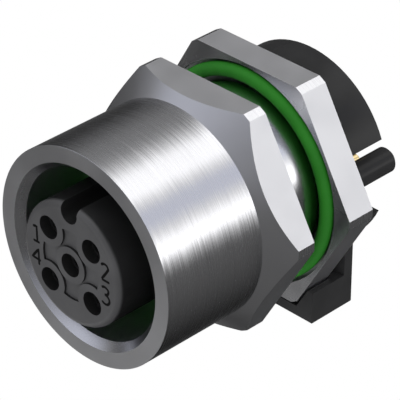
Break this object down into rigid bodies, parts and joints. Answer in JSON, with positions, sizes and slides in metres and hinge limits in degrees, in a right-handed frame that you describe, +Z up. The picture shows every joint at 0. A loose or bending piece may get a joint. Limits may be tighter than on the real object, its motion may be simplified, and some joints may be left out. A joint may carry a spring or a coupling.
{
  "type": "m12 panel socket connector",
  "caption": "Round M12 panel socket: threaded hexagon sleeve over a keyed contact insert, hexagon flange body with green seals, and a board-side spacer with solder tails.",
  "frame": {"origin": "on the connector's axis, in the plane of the flange that the panel seats against", "axes": "-Y out of the mating face, +Y towards the solder tails and the board, +Z up through the key groove, the foot hangs down"},
  "size_m": [0.017, 0.0224, 0.0159],
  "materials": {
    "nickel": "turned and brushed nickel plate on brass",
    "seal_green": "moulded green seal",
    "insert_black": "moulded black insert",
    "spacer_black": "moulded black spacer",
    "contact_gold": "thin gold plate on a turned copper alloy"
  },
  "bodies": {
    "root": {"threaded_sleeve": "nickel", "hex_body": "nickel", "panel_ring": "seal_green", "mating_ring": "seal_green", "insert_ring": "seal_green", "contact_insert": "insert_black", "board_spacer": "spacer_black", "contact_1": "contact_gold", "contact_2": "contact_gold", "contact_3": "contact_gold", "contact_4": "contact_gold", "contact_5": "contact_gold"}
  },
  "joints": []
}
